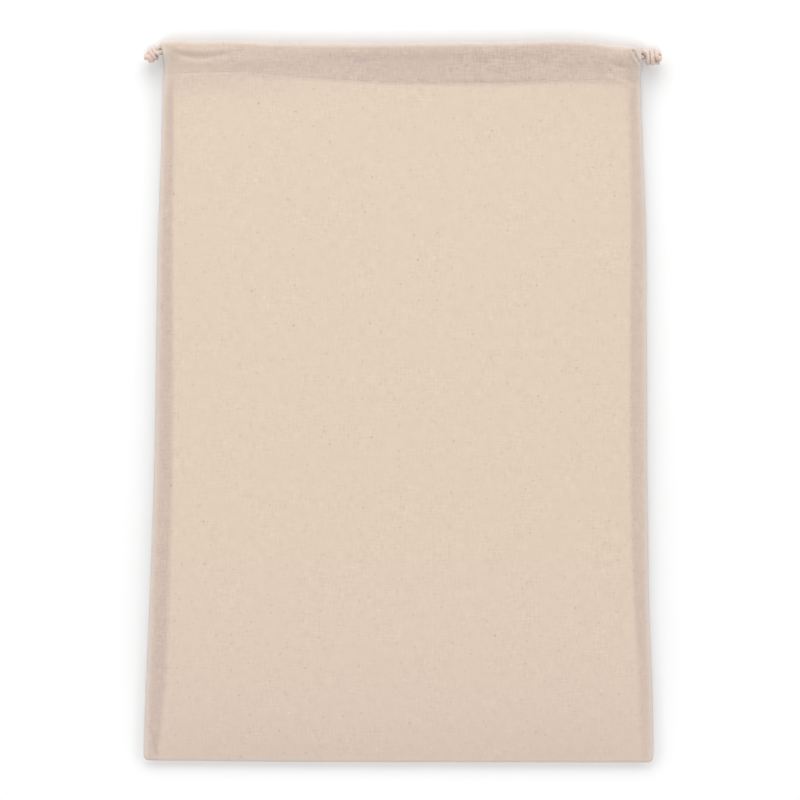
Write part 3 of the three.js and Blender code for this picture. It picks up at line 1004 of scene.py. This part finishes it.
def with_flecks(tree, cut, tone, kind):
    """A tone with one kind of seed flecks or neps in it."""
    wide, long = kind["cell"]
    cells = add(tree, "ShaderNodeMapping", {"Vector": cut, "Scale": per_metre(wide, long)})
    spots = add(
        tree,
        "ShaderNodeTexVoronoi",
        {"Vector": cells.outputs[0], "Scale": 1},
        voronoi_dimensions="2D",
    )
    reach = kind["size"] / ((wide + long) / 2)
    dot = add(
        tree,
        "ShaderNodeMapRange",
        {
            "Value": spots.outputs["Distance"],
            "From Min": reach * FLECK_CORE,
            "From Max": reach,
            "To Min": 1,
            "To Max": 0,
        },
    )
    pick = add(tree, "ShaderNodeSeparateColor", {0: spots.outputs["Color"]})
    strength = add(
        tree,
        "ShaderNodeMapRange",
        {"Value": pick.outputs[0], "From Min": 1 - kind["share"], "To Max": kind["strength"]},
    )
    amount = add(tree, "ShaderNodeMath", {0: dot.outputs[0], 1: strength.outputs[0]}, operation="MULTIPLY")
    flecked = add(
        tree,
        "ShaderNodeMix",
        {SHARE: amount.outputs[0], FROM: tone, TO: linear(kind["colour"])},
        data_type="RGBA",
    )
    return flecked.outputs[MIXED]


def with_doubled_and_shade(tree, tone, layers):
    """A tone painted a little darker and pinker, where more than one layer lets less light through and as
    painted shade.
    """
    darker = add(
        tree,
        "ShaderNodeMix",
        {SHARE: layers, FROM: tone, TO: DOUBLED_AND_SHADE_TINT},
        data_type="RGBA",
        blend_type="MULTIPLY",
    )
    return darker.outputs[MIXED]


def with_painted_sheen(tree, tone):
    """A tone with a painted sheen, paler and greyer, along folded edges where fibres catch the light."""
    edge_sheen = add(tree, "ShaderNodeAttribute", attribute_name="edge_sheen")
    sheen_share = add(tree, "ShaderNodeMath", {0: edge_sheen.outputs["Fac"], 1: SHEEN_MIX}, operation="MULTIPLY")
    # The painted sheen's pale grey
    paler = add(
        tree,
        "ShaderNodeMix",
        {SHARE: sheen_share.outputs[0], FROM: tone, TO: linear("#D3C8C0")},
        data_type="RGBA",
    )
    return paler.outputs[MIXED]


def cloth_relief(tree, cut, yarns, layers):
    """Puckers where the cloth is drawn in, and its yarns."""
    pucker_scale = per_metre(PUCKER_WIDE, PUCKER_LONG)
    pucker_place = add(tree, "ShaderNodeMapping", {"Vector": cut, "Scale": pucker_scale})
    puckers = add(tree, "ShaderNodeTexNoise", {"Vector": pucker_place.outputs[0], "Scale": 1, "Detail": 1})
    drawn = add(tree, "ShaderNodeMath", {0: puckers.outputs[0], 1: layers}, operation="MULTIPLY")
    waves = add(
        tree,
        "ShaderNodeBump",
        {"Strength": 0.5, "Distance": 0.6 * MM, "Height": drawn.outputs[0]},
    )
    relief = add(
        tree,
        "ShaderNodeBump",
        {"Strength": 0.2, "Distance": 0.25 * MM, "Height": yarns, "Normal": waves.outputs[0]},
    )
    return relief.outputs[0]


def unbleached_cotton_cloth():
    """Unbleached plain-weave cotton: matt, creamy, with uneven yarns, seed flecks and pale neps."""
    material, tree = new_material("unbleached plain-weave cotton")
    cut = add(tree, "ShaderNodeUVMap", uv_map="cut").outputs["UV"]
    # How dark the cloth is painted, for its doubled layers and as painted shade
    layers = add(tree, "ShaderNodeAttribute", attribute_name="layers").outputs["Fac"]
    yarns = yarn_noise(tree, cut)
    tone = cloth_colour(tree, cloth_shade(tree, cut, yarns, layers))
    for kind in FLECKS:
        tone = with_flecks(tree, cut, tone, kind)
    cloth = add(
        tree,
        "ShaderNodeBsdfPrincipled",
        {
            "Base Color": with_painted_sheen(tree, with_doubled_and_shade(tree, tone, layers)),
            "Normal": cloth_relief(tree, cut, yarns, layers),
            "Roughness": 0.92,
            "IOR": 1.5,
            "Specular IOR Level": 0.15,
            "Sheen Weight": 0.08,
            "Sheen Roughness": 0.5,
        },
    )
    add(tree, "ShaderNodeOutputMaterial", {"Surface": cloth.outputs[0]})
    return material


def twisted_cotton_cord():
    """Soft twisted cotton cord: matt, pale, with fine uneven fibres all over its plies."""
    material, tree = new_material("twisted cotton cord")
    place = add(tree, "ShaderNodeTexCoord").outputs["Object"]
    fibres = add(tree, "ShaderNodeTexNoise", {"Vector": place, "Scale": METRE / FIBRE, "Detail": 3})
    colour = add(
        tree,
        "ShaderNodeMix",
        {SHARE: fibres.outputs[0], FROM: linear("#C8B1A3"), TO: linear("#E6D4C9")},
        data_type="RGBA",
    )
    relief = add(
        tree,
        "ShaderNodeBump",
        {"Strength": 0.5, "Distance": 0.15 * MM, "Height": fibres.outputs[0]},
    )
    cord = add(
        tree,
        "ShaderNodeBsdfPrincipled",
        {
            "Base Color": colour.outputs[MIXED],
            "Normal": relief.outputs[0],
            "Roughness": 0.9,
            "Specular IOR Level": 0.2,
            "Sheen Weight": 0.15,
        },
    )
    add(tree, "ShaderNodeOutputMaterial", {"Surface": cord.outputs[0]})
    return material


def cotton_thread():
    """Cotton sewing thread: smoother than the cloth, and so close to it in colour that it hardly shows."""
    material, tree = new_material("cotton sewing thread")
    place = add(tree, "ShaderNodeTexCoord").outputs["Object"]
    twist = add(tree, "ShaderNodeTexNoise", {"Vector": place, "Scale": METRE / THREAD_FIBRE, "Detail": 2})
    colour = add(
        tree,
        "ShaderNodeMix",
        {SHARE: twist.outputs[0], FROM: linear("#C2AF9C"), TO: linear("#D4C2B0")},
        data_type="RGBA",
    )
    thread = add(
        tree,
        "ShaderNodeBsdfPrincipled",
        {"Base Color": colour.outputs[MIXED], "Roughness": 0.75, "Specular IOR Level": 0.3},
    )
    add(tree, "ShaderNodeOutputMaterial", {"Surface": thread.outputs[0]})
    return material


def matt_white_board():
    """Painted board under the bag: plain, white and matt."""
    material, tree = new_material("matt white board")
    board = add(
        tree,
        "ShaderNodeBsdfPrincipled",
        {"Base Color": linear("#F2F2F2"), "Roughness": 0.9, "Specular IOR Level": 0.1},
    )
    add(tree, "ShaderNodeOutputMaterial", {"Surface": board.outputs[0]})
    return material


def white_table():
    """The surface that the bag lies on."""
    mesh = bpy.data.meshes.new("table")
    table = bmesh.new()
    bmesh.ops.create_grid(table, x_segments=1, y_segments=1, size=TABLE_HALF * MM)
    bmesh.ops.translate(table, verts=table.verts, vec=(0, 0, -TABLE_BELOW * MM))
    table.to_mesh(mesh)
    table.free()
    mesh.materials.append(matt_white_board())
    return placed("table", mesh)


def light_tent():
    """A white tent round the bag, bright in a ring and nearly dark above."""
    world = bpy.data.worlds.new("studio tent")
    bpy.context.scene.world = world
    world.use_nodes = True
    tree = world.node_tree
    tree.nodes.clear()
    direction = add(tree, "ShaderNodeTexCoord").outputs["Generated"]
    way = add(tree, "ShaderNodeSeparateXYZ", {0: direction})
    ring = add(tree, "ShaderNodeValToRGB", {0: way.outputs["Z"]})
    stops = ring.color_ramp.elements
    while len(stops) < len(TENT):
        stops.new(0.5)
    for stop, row in zip(stops, TENT):
        stop.position = row["height"]
        stop.color = (row["light"], row["light"], row["light"], 1)
    open_from, open_to = TENT_OPEN
    hung = add(
        tree,
        "ShaderNodeMapRange",
        {"Value": way.outputs["Y"], "From Min": open_from, "From Max": open_to, "To Min": TENT_THROUGH},
    )
    tent = add(tree, "ShaderNodeBackground", {"Color": ring.outputs[0], "Strength": hung.outputs[0]})
    add(tree, "ShaderNodeOutputWorld", {"Surface": tent.outputs[0]})


def light_panel(row):
    """A soft light that faces the bag."""
    panel = bpy.data.lights.new(row["name"], "AREA")
    panel.shape = "RECTANGLE"
    panel.size = row["wide"]
    panel.size_y = row["deep"]
    panel.energy = row["watts"]
    piece = placed(row["name"], panel)
    piece.location = row["at"]
    piece.rotation_mode = "QUATERNION"
    piece.rotation_quaternion = (-piece.location).to_track_quat("-Z", "Y")


def camera_above():
    """A long lens far above the bag, which looks straight down."""
    camera = bpy.data.cameras.new("camera")
    camera.sensor_width = CAMERA_SENSOR
    camera.lens = CAMERA_LENS
    piece = placed("camera", camera)
    piece.location = [value * MM for value in CAMERA_AT]
    return piece


# The bag
cloth_piece, cut_size = bag_cloth()
cloth_piece.data.materials.append(unbleached_cotton_cloth())
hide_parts("bag_cloth")
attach(cloth_piece, "root")
cord_material = twisted_cotton_cord()
for cord_name, cord_table in [("drawstring_left", LEFT_CORD), ("drawstring_right", RIGHT_CORD)]:
    cord_piece = drawstring(cord_name + "_cord", cord_table)
    cord_piece.data.materials.append(cord_material)
    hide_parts(cord_name)
    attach(cord_piece, "root")
stitch_piece = casing_stitches()
stitch_piece.data.materials.append(cotton_thread())
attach(stitch_piece, "root")

# The white surface, the light and the camera
white_table()
light_tent()
for panel_row in PANELS:
    light_panel(panel_row)
bpy.context.scene.camera = camera_above()
bpy.context.scene.view_settings.view_transform = "Standard"
